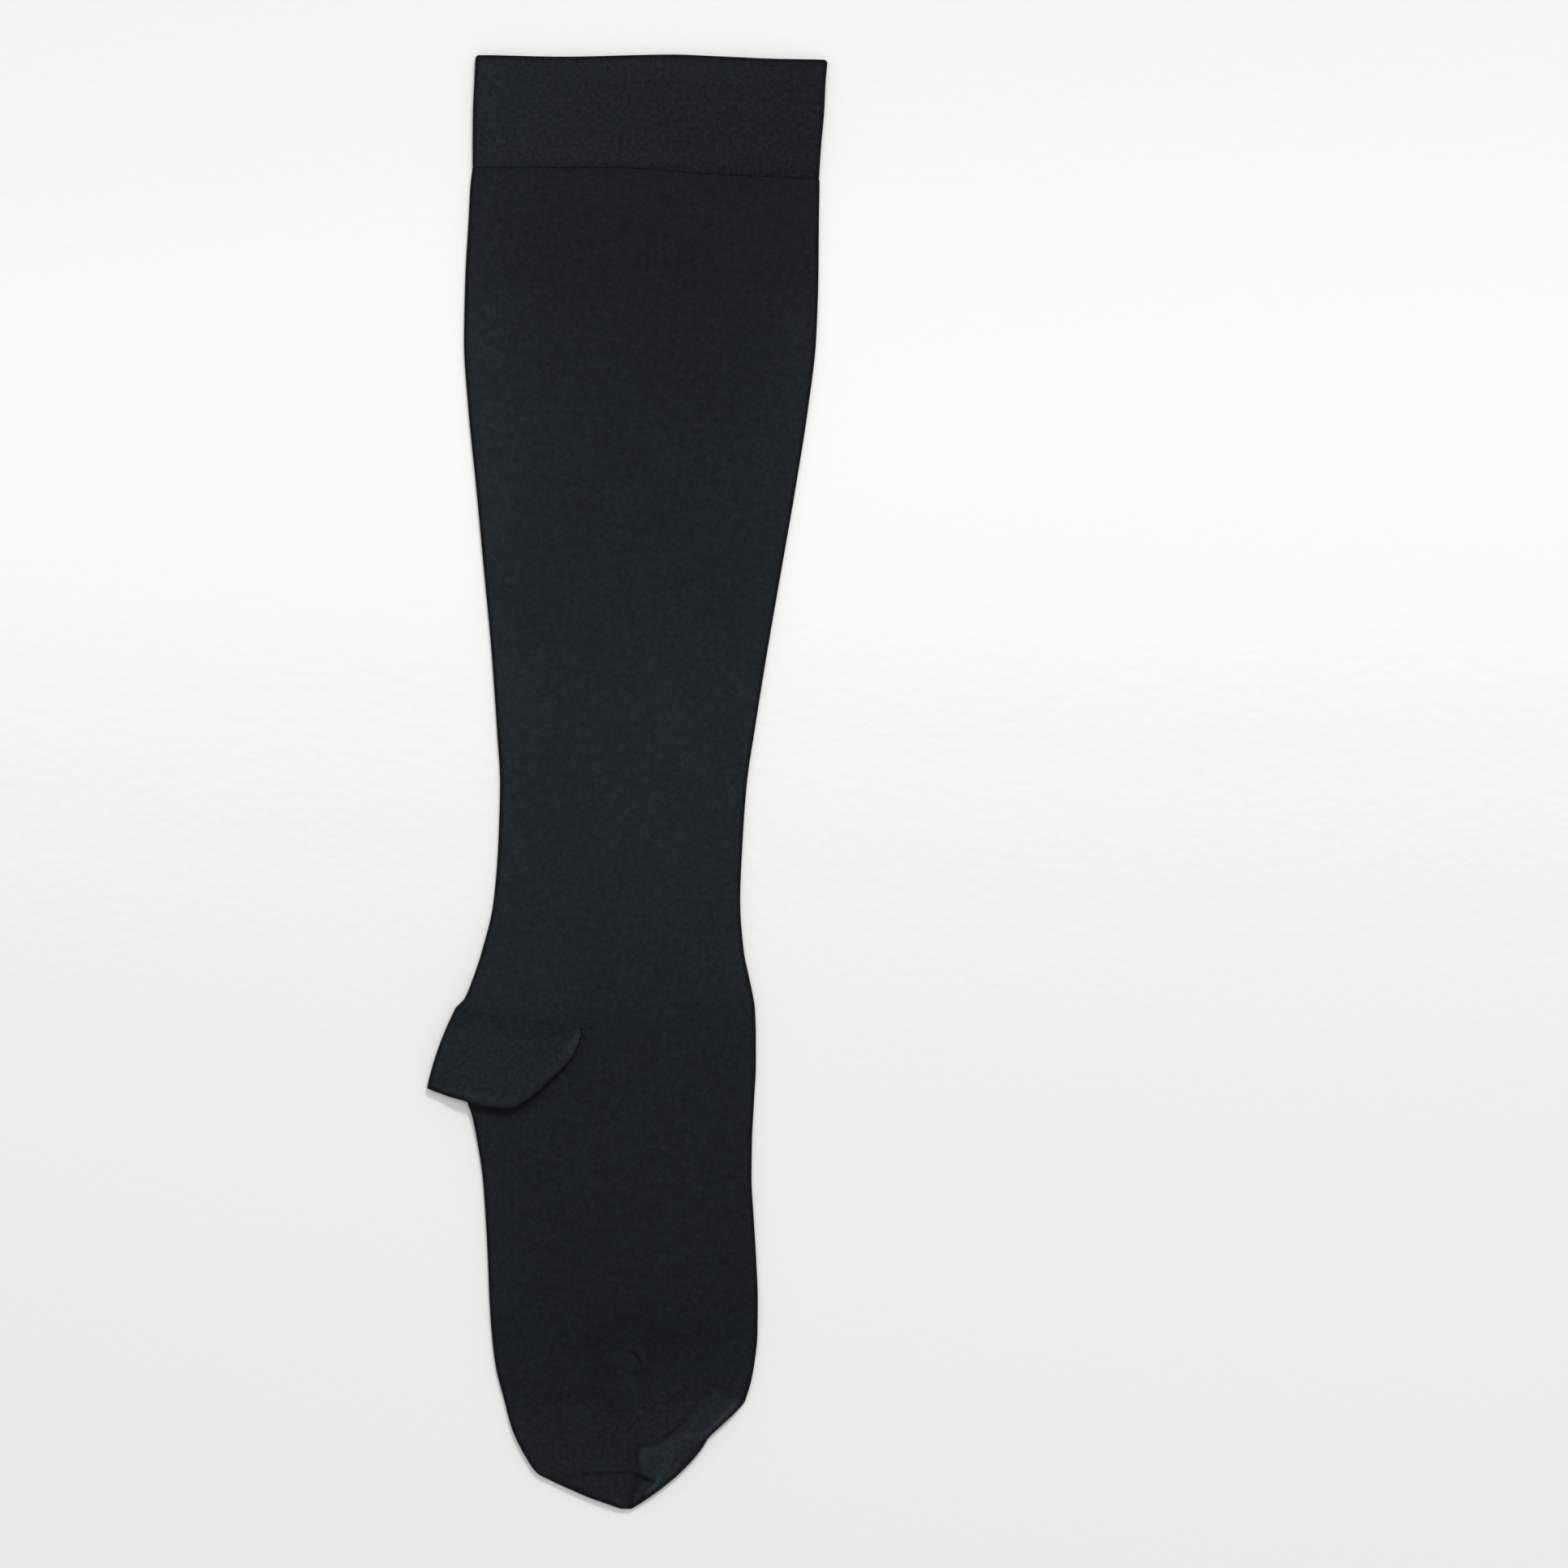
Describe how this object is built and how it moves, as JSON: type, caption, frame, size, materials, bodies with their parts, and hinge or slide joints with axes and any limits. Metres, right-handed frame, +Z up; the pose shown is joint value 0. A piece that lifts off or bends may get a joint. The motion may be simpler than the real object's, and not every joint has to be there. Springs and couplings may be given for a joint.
{
  "type": "compression stocking",
  "caption": "Knee-high closed-toe compression stocking lying flat on its side, with a doubled top band and the heel pocket folded over the foot.",
  "frame": {"origin": "middle of the underside, on the surface that the stocking lies on", "axes": "+X from the back of the leg to its front, +Y from the toe to the hem, +Z up"},
  "size_m": [0.1477, 0.5371, 0.0061],
  "materials": {
    "band_knit": "matt doubled knit",
    "leg_knit": "matt fine ribless knit",
    "heel_knit": "matt reinforced knit",
    "toe_knit": "matt reinforced knit"
  },
  "bodies": {
    "root": {"top_band": "band_knit", "leg_foot": "leg_knit", "heel_pocket": "heel_knit", "toe_cap": "toe_knit"}
  },
  "joints": []
}
